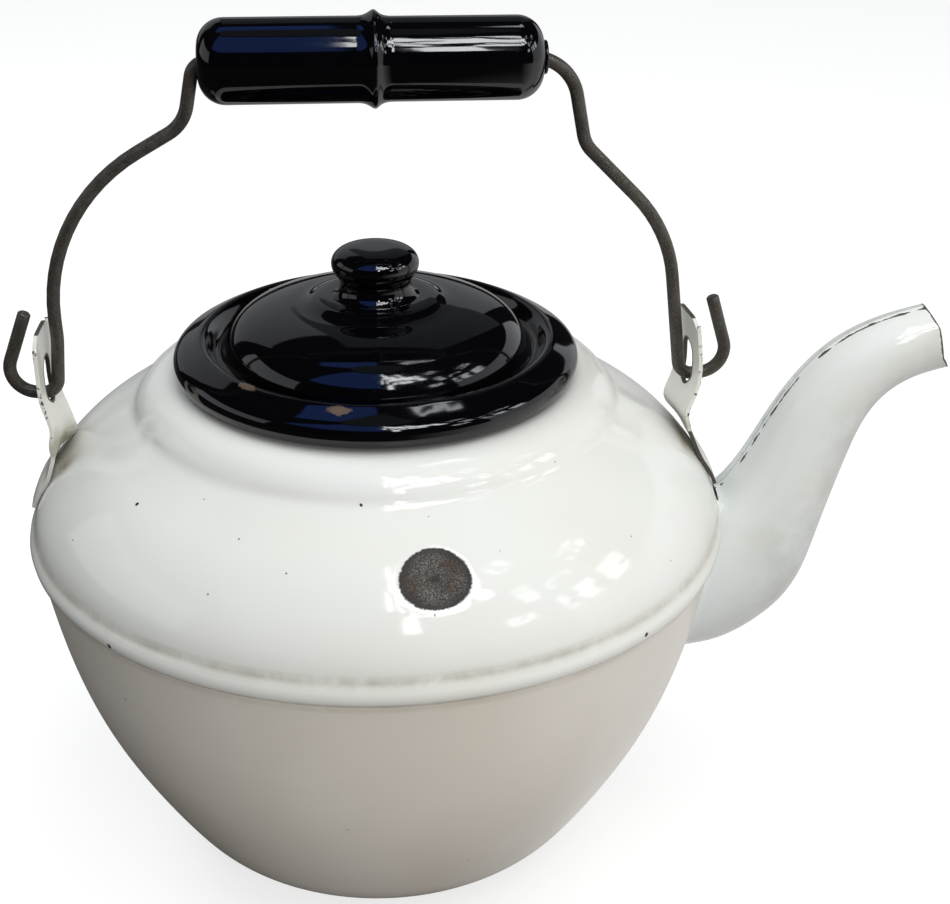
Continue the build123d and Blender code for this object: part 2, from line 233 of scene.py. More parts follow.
def turned_sheet(name, outline, around, push=None, thickness=SHEET):
    """Turn the section of a sheet about Z; push may move each point."""
    shape = bmesh.new()
    rings = []
    for radius, height in sheet_section(outline, thickness):
        if radius < 1e-6:
            rings.append([shape.verts.new((0, 0, height * MM))])
            continue
        ring = []
        for step in range(around):
            angle = 2 * math.pi * step / around
            point = Vector((radius * math.cos(angle), radius * math.sin(angle), height))
            ring.append(shape.verts.new((push(point) if push else point) * MM))
        rings.append(ring)
    pairs = list(zip(rings, rings[1:]))
    if len(rings[-1]) > 1 and len(rings[0]) > 1:
        pairs.append((rings[-1], rings[0]))
    for low, high in pairs:
        for step in range(around):
            after = (step + 1) % around
            corners = [low[step % len(low)], low[after % len(low)],
                       high[after % len(high)], high[step % len(high)]]
            corners = list(dict.fromkeys(corners))
            if len(corners) > 2:
                shape.faces.new(corners)
    return finished(shape, name)


# %% Put a piece in the scene
def settle(mesh, body, nodes):
    """Make an object of a mesh, smooth it, and let it ride for its solid nodes."""
    for polygon in mesh.polygons:
        polygon.use_smooth = True
    piece = put(mesh.name, mesh)
    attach(piece, body)
    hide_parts(*nodes)
    print(mesh.name, "faces", len(mesh.polygons), "rides on", body)
    return piece


def note(piece, name, value):
    """Write a value from 0 to 1 at every point of a piece, for its material to read."""
    mesh = piece.data
    layer = mesh.attributes.new(name, "FLOAT", "POINT")
    layer.data.foreach_set("value", [value(vertex.co / MM) for vertex in mesh.vertices])


def thicken(piece, offset, edge_width):
    """Give a one-sided piece the thickness of the sheet and a rounded enamel edge."""
    wall = piece.modifiers.new("sheet", "SOLIDIFY")
    wall.thickness = SHEET * MM
    wall.offset = offset
    edge = piece.modifiers.new("enamel_edge", "BEVEL")
    edge.width = edge_width * MM
    edge.segments = 3
    edge.limit_method = "ANGLE"
    edge.angle_limit = math.radians(50)


# %% [markdown]
# ## Shoulder
# The shoulder is one spun sheet: the folded hem that grips the bowl shows as a fat bead, then
# the sheet swells over the belly and rises to a raised collar round the mouth. On the front a
# blow has knocked the enamel off, and the bare iron lies a little lower, with a small dent.
# The chip could be painted only, but a shallow step in the mesh also catches the light.

# %% Outline of the shoulder
SHOULDER_OUTLINE = [
    (108.0, 107.7), (108.9, 108.5), (109.7, 109.8), (110.0, 111.4), (109.7, 113.0), (109.0, 114.4),
    (108.3, 115.6), (107.9, 117.0), (107.2, 120.0), (105.3, 124.5), (102.5, 128.9), (99.2, 133.0),
    (95.6, 136.7), (91.6, 140.1), (87.4, 143.1), (83.0, 146.0), (79.0, 148.7), (76.4, 150.5),
    (74.9, 151.9), (73.9, 153.8), (72.3, 156.1), (69.8, 158.4), (66.6, 160.0), (63.4, 160.65),
]
MOUTH_OUTLINE = rounded([(61.5, 160.7), (53.6, 160.7), (53.6, 152.3)], [2.6], 12)
shoulder_outline = np.concatenate([smooth_line(SHOULDER_OUTLINE, 1.2, start=(0.9, 0.5), end=(-1, 0.05)),
                                   MOUTH_OUTLINE])
print("shoulder outline", len(shoulder_outline), "points")

# %% Chip on the shoulder
CHIP_PLACE = Vector((11.3, -92.5, 138.4))
CHIP_ACROSS = Vector((0.9925, 0.1219, 0.0))
CHIP_DOWN = Vector((0.0928, -0.7558, -0.648))
CHIP_HALF_WIDTH = 10.3
CHIP_HALF_HEIGHT = 9.2


def chip_depth(point):
    """Millimetres inside the edge of the big chip; negative outside it."""
    away = point - CHIP_PLACE
    across = away.dot(CHIP_ACROSS)
    down = away.dot(CHIP_DOWN) / CHIP_HALF_HEIGHT
    width = CHIP_HALF_WIDTH * (1.0 + 0.10 * max(-1.0, min(1.0, down)))
    ragged = noise.noise(point * 0.55) * 0.025
    return (1 - math.hypot(across / width, down) + ragged) * CHIP_HALF_HEIGHT


def uneven(point, amount=0.35, size=45.0):
    """Sink the wall a little here and there, as hand work leaves it."""
    sink = amount * (0.5 + 0.5 * noise.noise(point / size))
    return point - outward(point) * min(sink, amount)


def shoulder_push(point):
    """Hand-made unevenness, and the step and the dent of the chip."""
    point = uneven(point)
    inside = chip_depth(point)
    normal = outward(point) * 0.65 + Vector((0, 0, 0.76))
    if inside > -1 and point.z > 120:
        step = clamp(inside + 0.3) * 0.35
        dent = 0.9 * swell((point - CHIP_PLACE).length, 0, 3.0)
        point = point - normal * (step + dent)
    return point


print("chip is", 2 * CHIP_HALF_WIDTH, "mm wide")

# %% Build the shoulder
FOOT_HALF_WIDTH = 11.6
FOOT_TOP_Z = 135.0


def seam_grime_and_shade(point):
    """Grime and painted shade in the crease above the bead and round the feet of the ears, and a dark line
    under the bead.
    """
    crease = swell(point.z, 115.9, 1.4) if math.hypot(point.x, point.y) > 100 else 0
    under = swell(point.z, 107.9, 0.8)
    feet = 0.0
    if abs(point.x) > 80:
        beside = abs(point.y) - FOOT_HALF_WIDTH
        above = point.z - FOOT_TOP_Z
        feet = swell(math.hypot(max(0.0, beside), above), 0, 3.4)
        if 120 < point.z < FOOT_TOP_Z:
            feet = max(feet, 0.7 * swell(beside, 0, 1.3))
    return min(1.0, max(crease * 0.66, under, feet))


shoulder = settle(turned_sheet("shoulder_skin", shoulder_outline, 480, shoulder_push),
                  "kettle", ["shoulder"])
note(shoulder, "chip", lambda p: clamp(0.5 + chip_depth(p) / 18) if p.z > 118 else 0.0)
# Grime and painted shade: the crease above the bead and the corners beside the ears' feet are darkened.
note(shoulder, "grime_and_shade", seam_grime_and_shade)

# %% [markdown]
# ## Bowl
# The bowl is drawn deep from a disc: a flat base, a tight turn, and walls that open to the
# seam. Faint rings from the drawing stay under the enamel. It is turned in the same way.

# %% Build the bowl
BOWL_OUTLINE = [(50, 0), (57.5, 1.6), (65.1, 5.4), (74.1, 16.1), (83.8, 32.4), (94.3, 54.0), (102.7, 80.9),
                (107.6, 106.5)]
BASE_POINTS = [(0.0, 0.0), (12.0, 0.0), (25.0, 0.0), (38.0, 0.0), (46.0, 0.0)]
BOWL_TOP = (107.85, 108.9)
bowl_outline = np.concatenate([BASE_POINTS, smooth_line(BOWL_OUTLINE, 1.8, start=(1, 0), end=(0.17, 0.985)),
                               [BOWL_TOP]])


def bowl_push(point):
    """Hand-made unevenness on the walls; the base stays flat."""
    return uneven(point, 0.4, 60.0) if point.z > 2.5 else point


bowl = settle(turned_sheet("bowl_skin", bowl_outline, 320, bowl_push),
              "kettle", ["bowl"])
# The bowl is darkened in a thin line just under the bead.
note(bowl, "grime_and_shade", lambda p: swell(p.z, 107.5, 0.9) if p.z > 90 else 0.0)

# %% Hole from the bowl to the spout
SPOUT_HOLE_RADIUS = 16
SPOUT_HOLE_LENGTH = 30
SPOUT_HOLE_PLACE = (103, 0, 84)


def cutter(name, radius, length, place):
    """A plain round bar along X that cuts a hole; it is never shown."""
    bar = bmesh.new()
    lying = Matrix.Translation(Vector(place) * MM) @ Matrix.Rotation(math.pi / 2, 4, "Y")
    bmesh.ops.create_cone(bar, cap_ends=True, segments=64, radius1=radius * MM, radius2=radius * MM,
                          depth=length * MM, matrix=lying)
    return put(name, finished(bar, name))


def cut(piece, tool):
    """Cut the tool out of the piece for good, and throw the tool away."""
    hole = piece.modifiers.new("hole", "BOOLEAN")
    hole.operation = "DIFFERENCE"
    hole.object = tool
    shown = piece.evaluated_get(bpy.context.evaluated_depsgraph_get())
    opened = bpy.data.meshes.new_from_object(shown)
    piece.modifiers.clear()
    piece.data = opened
    bpy.data.objects.remove(tool)


cut(bowl, cutter("spout_hole", SPOUT_HOLE_RADIUS, SPOUT_HOLE_LENGTH, SPOUT_HOLE_PLACE))
print("bowl with its hole has", len(bowl.data.polygons), "faces")

# %% [markdown]
# ## Spout
# The swan-neck spout is pressed in two halves, left and right, which are welded along the top
# and the bottom. The weld stands up as a thin ridge, and it has lost some of its enamel. The
# lip is cut to a small beak so that it doesn't drip. A spout could be swept along one path,
# but its upper and lower edges are not parallel, so it is laid between two measured edges.

# %% Edges of the spout
SPOUT_TOP = [(90.0, 106.0), (103.0, 108.0), (111.0, 113.0), (118.2, 122.4), (126.4, 138.0), (135.3, 152.5),
             (146.4, 163.7), (160.0, 170.8), (175.6, 175.2)]
SPOUT_FOOT = [(90.0, 57.0), (106.0, 58.6), (118.0, 62.4), (134.6, 76.3), (143.0, 98.8), (149.6, 123.0),
              (157.0, 142.4), (168.6, 152.9), (184.0, 157.4)]
SPOUT_HALF_WIDTH = [20.0, 19.8, 19.2, 17.6, 15.2, 12.8, 11.0, 9.9, 9.2]
LIP_CUT = [(173.2, 174.6), (175.6, 171.0), (176.4, 166.0), (177.3, 162.4), (181.6, 156.8)]
STATION_GAP = 20.0


def along_spout(values, steps=200):
    """Smooth the stations of the spout into many, counted from the body to the lip."""
    stations = [(index * STATION_GAP, *np.atleast_1d(value)) for index, value in enumerate(values)]
    track = smooth_line(stations, 0.5)
    wanted = np.linspace(0, (len(values) - 1) * STATION_GAP, steps)
    return np.stack([np.interp(wanted, track[:, 0], track[:, 1 + k]) for k in range(track.shape[1] - 1)], 1)


spout_top = along_spout(SPOUT_TOP)
spout_foot = along_spout(SPOUT_FOOT)
spout_width = along_spout(SPOUT_HALF_WIDTH)[:, 0]
print("spout stations", len(spout_top))

# %% Outer form of the body, to end the spout on it
body_profile = np.concatenate([bowl_outline[5:], shoulder_outline[:40]])
body_profile = body_profile[np.argsort(body_profile[:, 1])]


def outside_body(point):
    """How far a point lies outside the kettle's body, in millimetres."""
    return math.hypot(point[0], point[1]) - float(np.interp(point[2], body_profile[:, 1], body_profile[:, 0]))


def before_lip(point):
    """How far a point lies short of the lip, measured along X."""
    heights = [height for _, height in LIP_CUT][::-1]
    ends = [x for x, _ in LIP_CUT][::-1]
    slope = (LIP_CUT[0][0] - LIP_CUT[1][0]) / (LIP_CUT[0][1] - LIP_CUT[1][1])
    extra = max(0.0, point[2] - heights[-1]) * slope
    return float(np.interp(point[2], heights, ends)) + extra - point[0]


WELD_RISE = 0.45
WELD_WIDTH = 0.9


def spout_point(station, angle):
    """Point of the spout's outside; the angle runs from the top edge down one side."""
    low = int(min(station, len(spout_top) - 2))
    share = station - low
    top = spout_top[low] * (1 - share) + spout_top[low + 1] * share
    foot = spout_foot[low] * (1 - share) + spout_foot[low + 1] * share
    width = spout_width[low] * (1 - share) + spout_width[low + 1] * share
    middle = (top + foot) / 2
    half = (top - foot) / 2
    tall = np.linalg.norm(half)
    seam = swell(abs(math.sin(angle)) * width, 0, WELD_WIDTH) * WELD_RISE
    reach = (tall + seam) / tall
    place = middle + half * math.cos(angle) * reach
    return np.array([place[0], width * math.sin(angle), place[1]])


print("spout top point", np.round(spout_point(120, 0), 1))

# %% Build both halves of the spout
def crossing(test, angle, low, high):
    """The station between low and high where the test changes sign."""
    for _ in range(30):
        middle = (low + high) / 2
        if test(spout_point(middle, angle)) > 0:
            high = middle
        else:
            low = middle
    return high


HALF_GAP = 0.06
FLARE_REACH = 3.5
FLARE = 1.1
WELD_LINE = 1.0
LIP_WEAR = 3.0


def underside(place):
    """0 on the upper half of the spout, rising to 1 at its under edge."""
    top = float(np.interp(place[2], spout_top[:, 1], spout_top[:, 0]))
    foot = float(np.interp(place[2], spout_foot[:, 1], spout_foot[:, 0]))
    share = (place[0] - top) / max(1.0, foot - top)
    return clamp((share - 0.35) / 0.6)


def weld_wear(place):
    """Enamel is lost in a broken line along each side of the weld."""
    broken = 0.93 + 0.30 * noise.noise(Vector(place) / 4.0)
    return (1 - abs(abs(place[1]) - WELD_LINE) / 2.2) * broken


def spout_half(name, side, node, lengths=90, arounds=40):
    """Half a spout from the body to the lip, opened out at the foot where enamel fills the corner."""
    shape = bmesh.new()
    worn = shape.verts.layers.float.new("worn")
    grime_and_shade_layer = shape.verts.layers.float.new("grime_and_shade")
    rows = []
    for turn in range(arounds + 1):
        share = turn / arounds
        angle = math.pi * (share - 0.35 * math.sin(2 * math.pi * share) / (2 * math.pi) * 1.6)
        angle = min(max(angle, 0.0), math.pi)
        start = crossing(lambda p: outside_body(p) - 0.15, side * angle, 0, 120)
        stop = crossing(lambda p: -before_lip(p), side * angle, 120, len(spout_top) - 1.001)
        row = []
        for step in range(lengths + 1):
            place = spout_point(start + (stop - start) * (step / lengths) ** 1.15, side * angle)
            if abs(place[1]) < HALF_GAP:
                place[1] = side * HALF_GAP
            gap = outside_body(place)
            if gap < FLARE_REACH:
                flare = FLARE * ((FLARE_REACH - gap) / FLARE_REACH) ** 2
                centre = (spout_top + spout_foot)[40] / 2
                aside = np.array([0, place[1], place[2] - centre[1]])
                place = place + aside / np.linalg.norm(aside) * flare
            vertex = shape.verts.new(Vector(place) * MM)
            on_top = 1.0 if angle < 1 else 0.6
            vertex[worn] = max(1 - before_lip(place) / LIP_WEAR, weld_wear(place) * on_top, 0)
            # Painted shade: the spout is darkened towards its under edge.
            vertex[grime_and_shade_layer] = 0.42 * underside(place)
            row.append(vertex)
        rows.append(row)
    skin(shape, rows, flip=side > 0)
    half = settle(finished(shape, name), "kettle", [node])
    thicken(half, -1, 0.35)
    return half


spout_near = spout_half("spout_near_skin", -1, "spout_near_half")
spout_far = spout_half("spout_far_skin", 1, "spout_far_half")

# %% [markdown]
# ## Ears
# Each ear is a strip of sheet. Its foot lies on the shoulder, it folds sharply outwards, and
# its upright end has a long slot for the bail. The strips were bent by hand and stand a
# little twisted. A flat plate with a slot is drawn first, then every point of it is carried
# to the bent strip: that keeps the slot and the rounded top true whatever the bend.

# %% Middle line of an ear
HINGE_Z = 155.4
EAR_HALF_WIDTH = 11.0
FOOT_HEIGHTS = (120.5, 125.0, 129.0)
FOLD_Z = 140.0
FRONT_UPRIGHT = [(99.4, 136.4), (95.9, 142.2), (95.3, 144.0), (96.0, 148.0), (98.2, 155.4), (98.4, 163.4),
                 (96.9, 176.5)]
REAR_UPRIGHT = [(100.8, 135.0), (98.3, 139.9), (97.9, 141.7), (98.3, 146.9), (100.6, 155.4), (101.0, 163.4),
                (101.3, 176.5)]


def on_shoulder(height, lift):
    """A point just off the shoulder at a height, in side view."""
    spread = shoulder_outline[:42]
    radius = float(np.interp(height, spread[:, 1], spread[:, 0]))
    after = float(np.interp(height + 0.5, spread[:, 1], spread[:, 0]))
    out = Vector((0.5, radius - after)).normalized()
    return radius + out.x * lift, height + out.y * lift


def ear_middle(upright):
    """Middle line of a strip from its foot to its top, and how far along it each point lies."""
    line = smooth_line([on_shoulder(height, 0.7) for height in FOOT_HEIGHTS] + upright, 0.5)
    return line, np.concatenate([[0], np.cumsum(np.linalg.norm(np.diff(line, axis=0), axis=1))])


print("an ear's strip is", round(ear_middle(FRONT_UPRIGHT)[1][-1], 1), "mm long")

# %% Flat plate with its slot
SLOT_HALF_WIDTH = 4.3
SLOT_HALF_HEIGHT = 7.25
SLOT_STRAIGHT = SLOT_HALF_HEIGHT - SLOT_HALF_WIDTH
SLOT_Z = 159.75


def slot_point(share, centre):
    """Point on the slot's edge; the share runs once round from its lower left."""
    angle = math.radians(-135) + 2 * math.pi * share
    lift = SLOT_STRAIGHT * max(-1.0, min(1.0, math.sin(angle) / 0.3))
    return np.array([SLOT_HALF_WIDTH * math.cos(angle), centre + lift + SLOT_HALF_WIDTH * math.sin(angle)])


def frame_point(share, low, high, corner=6.0):
    """Point on the plate's outer edge, from its lower left corner round to it again."""
    across = EAR_HALF_WIDTH
    side = share * 4
    if side < 1:
        return np.array([-across + 2 * across * side, low])
    if side < 2:
        return np.array([across, low + (high - low) * (side - 1)])
    if side < 3:
        place = np.array([across * math.cos(math.pi * (side - 2)), high])
    else:
        return np.array([-across, high - (high - low) * (side - 3)])
    inset = abs(place[0]) - (across - corner)
    if inset > 0:
        place[1] = high - corner + math.sqrt(max(0.0, corner ** 2 - inset ** 2))
    return place


print("slot is", 2 * SLOT_HALF_HEIGHT, "mm tall")

# %% Build an ear
def ear_place(across, height, x, side, twist, fold):
    """Carry a point of the flat plate to the bent and twisted strip."""
    rise = clamp((height - FOLD_Z) / (HINGE_Z - FOLD_Z))
    near_fold = swell(height - FOLD_Z, 1.5, 4.5)
    angle = math.radians(twist * math.sqrt(rise) + fold[0] * near_fold) * side
    sag = fold[1] * near_fold * (0.35 + 0.65 * max(0.0, side * across / EAR_HALF_WIDTH))
    hug = max(0.0, 1 - max(0.0, height - FOLD_Z) / 4)
    curl = across ** 2 / (2 * x) * hug
    place = Vector((x - math.sin(angle) * across - curl, math.cos(angle) * across, height - sag))
    return Vector((side * place.x, side * place.y, place.z))


def ear(name, side, twist, fold, foot_wear, upright, node, cells=12, foot_rows=40, slot_rings=6):
    """One ear: a grid for the foot and rings of faces round the slot."""
    line, runs = ear_middle(upright)
    slot_run = float(np.interp(SLOT_Z, line[:, 1], runs))
    shape = bmesh.new()
    worn = shape.verts.layers.float.new("worn")
    grime_and_shade_layer = shape.verts.layers.float.new("grime_and_shade")
    low = slot_run - 12.0
    high = runs[-1]

    def vertex(across, run):
        height = float(np.interp(run, runs, line[:, 1]))
        x = float(np.interp(run, runs, line[:, 0]))
        made = shape.verts.new(ear_place(across, height, x, side, twist, fold) * MM)
        past_straight = max(0, abs(run - slot_run) - SLOT_STRAIGHT)
        from_slot = max(0, math.hypot(across, past_straight) - SLOT_HALF_WIDTH)
        from_side = min(EAR_HALF_WIDTH - abs(across), run + 0.6)
        made[worn] = max(0.0, 1.35 - from_slot * 0.4, 1.14 - (high - run) / 2.2,
                         (1 if height > FOLD_Z else foot_wear) - from_side / 3)
        # Grime and painted shade darken the ear along its fold.
        made[grime_and_shade_layer] = swell(height - FOLD_Z, 1.5, 2.6)
        return made

    rows = []
    for step in range(foot_rows + 1):
        run = low * step / foot_rows
        rows.append([vertex(-EAR_HALF_WIDTH + 2 * EAR_HALF_WIDTH * k / cells, run) for k in range(cells + 1)])
    skin(shape, rows)
    total = cells * 4
    rings = []
    for ring in range(slot_rings + 1):
        inward = (ring / slot_rings) ** 0.9
        points = []
        for k in range(total):
            share = k / total
            if ring == 0 and k <= cells:
                points.append(rows[-1][k])
                continue
            place = frame_point(share, low, high) * (1 - inward) + slot_point(share, slot_run) * inward
            points.append(vertex(place[0], place[1]))
        rings.append(points)
    skin(shape, rings, closed=True)
    bmesh.ops.recalc_face_normals(shape, faces=shape.faces)
    piece = settle(finished(shape, name), "kettle", [node])
    smooth = piece.modifiers.new("soft_bends", "SUBSURF")
    smooth.levels = smooth.render_levels = 2
    thicken(piece, 0, 0.4)
    return piece


ear_front = ear("ear_front_skin", 1, 6.5, (6.0, 0.0), 1.13, FRONT_UPRIGHT, "ear_front")
ear_rear = ear("ear_rear_skin", -1, 3.5, (12.0, 4.4), 0.94, REAR_UPRIGHT, "ear_rear")

# %% [markdown]
# ## Bail
# One piece of iron wire makes the whole bail: hook, leg, neck, the straight run inside the
# grip, and the same again. A Bezier curve with a bevel would do, but a wire that was bent over
# pegs is made of straights and arcs, so the middle line is built from those.

# %% Middle line of the wire
GRIP_Z = 256.2
FRONT_EAR_X = 98.4
REAR_EAR_X = 101.0
GRIP_HALF = 49.5
WIRE_CORNERS = [
    (FRONT_EAR_X + 5.9, HINGE_Z + 25.6, 0), (FRONT_EAR_X + 13.5, HINGE_Z + 0.8, 8),
    (FRONT_EAR_X - 3.0, HINGE_Z - 0.5, 4.5), (FRONT_EAR_X - 8.9, HINGE_Z + 47.6, 45),
    (GRIP_HALF + 13.1, GRIP_Z - 26.0, 10), (GRIP_HALF + 8.1, GRIP_Z, 14),
    (-GRIP_HALF - 1.2, GRIP_Z, 5), (-GRIP_HALF - 4.7, GRIP_Z - 18.0, 12),
    (-REAR_EAR_X + 3.5, HINGE_Z + 57.7, 57), (-REAR_EAR_X + 4.7, HINGE_Z + 17.1, 30),
    (-REAR_EAR_X + 3.3, HINGE_Z - 0.5, 4.5),
    (-REAR_EAR_X - 13.65, HINGE_Z + 0.6, 8), (-REAR_EAR_X - 4.2, HINGE_Z + 26.0, 0),
]
wire_bends = [bend for _, _, bend in WIRE_CORNERS[1:-1]]
wire_line = rounded([(x, 0.0, z) for x, z, _ in WIRE_CORNERS], wire_bends, 5.0)
print("wire", round(float(np.linalg.norm(np.diff(wire_line, axis=0), axis=1).sum())), "mm long")

# %% Build the wire
WIRE_RADIUS = 2.0


def tube_mesh(name, line, radius, sides=28, end_round=0.5):
    """A round bar along a line, with slightly rounded ends."""
    line = [Vector(place) for place in line]
    fine = [line[0]]
    for before, after in zip(line, line[1:]):
        steps = max(1, round((after - before).length / 4))
        fine += [before.lerp(after, (step + 1) / steps) for step in range(steps)]
    shape = bmesh.new()
    side = Vector((0, 1, 0))
    turns = [2 * math.pi * k / sides for k in range(sides)]
    rings = []
    for index, place in enumerate(fine):
        ahead = (fine[min(index + 1, len(fine) - 1)] - fine[max(index - 1, 0)]).normalized()
        up = ahead.cross(side).normalized()
        rims = [(radius, 0.0)]
        if index == 0:
            rims = [(radius - end_round, 0.0), (radius, end_round)]
        elif index == len(fine) - 1:
            rims = [(radius, -end_round), (radius - end_round, 0.0)]
        for size, shift in rims:
            rings.append([shape.verts.new((place + ahead * shift
                                           + (side * math.cos(turn) + up * math.sin(turn)) * size) * MM)
                          for turn in turns])
    skin(shape, rings, closed=True)
    shape.faces.new(rings[0][::-1])
    shape.faces.new(rings[-1])
    bmesh.ops.recalc_face_normals(shape, faces=shape.faces)
    return finished(shape, name)


bail = settle(tube_mesh("bail_wire_bar", wire_line, WIRE_RADIUS), "bail", ["bail_wire"])

# %% [markdown]
# ## Grip
# The grip is a hollow tube of thin sheet on the wire, in two cups. Their mouths flare and meet
# in a ridge that enamel has run over, so the ridge has soft hollows on both sides. Each cup is
# a section turned about the wire; the turning helper works about Z, so the cup is turned
# there and laid down along X.

# %% Build the grip
RIDGE_X = 0.7
RIDGE_RADIUS = 13.9
FRONT_CUP_RADIUS = 12.1
REAR_CUP_RADIUS = 12.3
GRIP_SHEET = 1.1


def cup_outline(length, radius):
    """From the wire's hole round the end, along the cup and up the flare to the ridge."""
    end = rounded([(4.4, length), (radius, length), (radius, 5.5)], [7.8], 6)
    flare = smooth_line([(radius, 5.5), (radius + 0.15, 3.4), (radius + 0.7, 1.9), (RIDGE_RADIUS - 0.2, 0.75)],
                        0.5, start=(0, -1))
    return np.concatenate([end[:-1], flare, [(RIDGE_RADIUS, 0.4)]])


def grip_cup(name, side, length, radius, node):
    """One cup of the grip, turned and laid along the wire."""
    def press(point):
        sink = 0.12 * (0.5 + 0.5 * noise.noise(point / 14 + Vector((side * 30, 0, 0))))
        point = point - outward(point) * sink
        return Vector((side * point.z + RIDGE_X, point.y * side, point.x + GRIP_Z))

    mesh = turned_sheet(name, cup_outline(length, radius)[::-1], 96, press, GRIP_SHEET)
    mesh.flip_normals()
    return settle(mesh, "grip", [node])


grip_front = grip_cup("grip_front_skin", 1, GRIP_HALF - RIDGE_X, FRONT_CUP_RADIUS, "grip_front_shell")
grip_rear = grip_cup("grip_rear_skin", -1, GRIP_HALF + RIDGE_X, REAR_CUP_RADIUS, "grip_rear_shell")

# %% [markdown]
# ## Lid
# One pressed sheet: a fat rolled rim, a slope up to a ridge, a narrow gutter, a low dome and
# a flat boss for the knob. The ring below it keeps it in the mouth. The knob is hollow and
# its foot is drowned in enamel.

# %% Outlines of the lid, its ring and its knob
roll = arc((57.8, 165.4), 4.4, 215, 205, 22)
LID_TOP = [(59.5, 169.5), (57.6, 170.5), (55.4, 171.6), (53.8, 172.2), (52.7, 172.0), (51.6, 170.7),
           (50.0, 168.4), (48.4, 167.2), (47.0, 167.9), (46.3, 169.7), (45.5, 172.0), (43.9, 174.6),
           (41.2, 177.1), (37.0, 179.2), (31.5, 180.9), (26.5, 181.9), (22.6, 182.5), (20.6, 183.2),
           (18.8, 184.2), (16.5, 184.6), (12.0, 184.7)]
BOSS_POINTS = [(6.0, 184.7), (0.0, 184.7)]
lid_outline = np.concatenate([roll[:-1], smooth_line(LID_TOP, 1.0, end=(-1, 0.0)), BOSS_POINTS])
ring_outline = rounded([(53.0, 152.8), (53.0, 165.2), (46.0, 165.2)], [2.0], 12)
KNOB_OUTLINE = [(13.2, 184.85), (12.4, 185.3), (11.4, 186.5), (10.8, 188.2), (10.9, 189.7), (11.9, 191.3),
                (12.9, 192.9), (13.3, 194.6), (12.9, 196.5), (11.4, 198.2), (8.6, 199.4), (4.5, 199.9)]
KNOB_TOP = (0.0, 199.95)
KNOB_SHEET = 0.9
knob_outline = np.concatenate([smooth_line(KNOB_OUTLINE, 0.7, start=(-1, 0.3), end=(-1, 0.02)), [KNOB_TOP]])
print("lid outline", len(lid_outline), "points")

# %% Build the lid
RIM_SPOTS = ((Vector((-38.6, -37.6, 171.8)), 5.6), (Vector((-12.8, -54.6, 171.1)), 6.2),
             (Vector((53.8, -30.8, 164.9)), 2.4))


def rim_spot(point):
    """Spots on the rim where the black is rubbed thin and the brown iron shows."""
    near = 0.0
    for spot, size in RIM_SPOTS:
        away = point - spot
        radial = outward(spot)
        away += (radial * away.dot(radial) + Vector((0, 0, away.z))) * 1.3
        near = max(near, 1 - away.length / (size * 2))
    return max(0.0, near)


def lid_push(point):
    """Hand-made unevenness, but not under the knob."""
    return uneven(point, 0.15, 22.0) if math.hypot(point.x, point.y) > 8 else point


lid = settle(turned_sheet("lid_skin", lid_outline, 360, lid_push),
             "lid", ["lid_shell"])
note(lid, "worn", rim_spot)
ring = settle(turned_sheet("lid_ring", ring_outline, 160),
              "lid", ["lid_skirt"])
knob = settle(turned_sheet("lid_knob_skin", knob_outline, 120, thickness=KNOB_SHEET),
              "lid", ["lid_knob"])

# %% [markdown]
# ## Enamel and iron
# Glass enamel is colour under a clear, hard gloss. Three things keep it from looking like
# plastic: the surface ripples a little, small pits and specks lie in it, and chips show the
# dark iron. Effects that more than one material needs are built once, as groups.

# %% Help with shader nodes
def fill(tree, node, **inputs):
    """Set or link a node's inputs; i0, i1 ... name inputs by number."""
    for key, value in inputs.items():
        numbered = key[0] == "i" and key[1:].isdigit()
        socket = node.inputs[int(key[1:]) if numbered else key.replace("_", " ")]
        if isinstance(value, bpy.types.NodeSocket):
            tree.links.new(value, socket)
        else:
            socket.default_value = value


def add(tree, kind, settings=None, **inputs):
    """Add a node, set its options and fill its inputs."""
    made = tree.nodes.new(kind)
    for key, value in (settings or {}).items():
        setattr(made, key, value)
    fill(tree, made, **inputs)
    return made


def calc(tree, what, first, second, third=0.0):
    """A sum, a product or another plain calculation."""
    return add(tree, "ShaderNodeMath", {"operation": what}, i0=first, i1=second, i2=third).outputs[0]


def soft_step(tree, value, low, high):
    """0 below low, 1 above high, with a soft change between."""
    return add(tree, "ShaderNodeMapRange", {"interpolation_type": "SMOOTHSTEP"}, Value=value, From_Min=low,
               From_Max=high).outputs[0]


def blend(tree, factor, first, second):
    """Mix two colours by a factor."""
    return add(tree, "ShaderNodeMix", {"data_type": "RGBA"}, i0=factor, i6=first, i7=second).outputs[2]


def blend_numbers(tree, factor, first, second):
    """Mix two numbers by a factor."""
    return add(tree, "ShaderNodeMix", {"data_type": "FLOAT"}, i0=factor, i2=first, i3=second).outputs[0]


def clouds(tree, place, scale, detail=2.0, roughness=0.5):
    """Cloudy noise, with its scale counted per metre."""
    return add(tree, "ShaderNodeTexNoise", Vector=place, Scale=scale, Detail=detail,
               Roughness=roughness).outputs[0]


def group(name, numbers, outputs):
    """A node group with a Position and named numbers going in, and named sockets coming out."""
    tree = bpy.data.node_groups.new(name, "ShaderNodeTree")
    tree.interface.new_socket("Position", in_out="INPUT", socket_type="NodeSocketVector")
    for label, value in numbers.items():
        socket = tree.interface.new_socket(label, in_out="INPUT", socket_type="NodeSocketFloat")
        socket.default_value = value
    for label, kind in outputs.items():
        tree.interface.new_socket(label, in_out="OUTPUT", socket_type="NodeSocket" + kind)
    print("group", name)
    return tree, tree.nodes.new("NodeGroupInput").outputs, tree.nodes.new("NodeGroupOutput").inputs


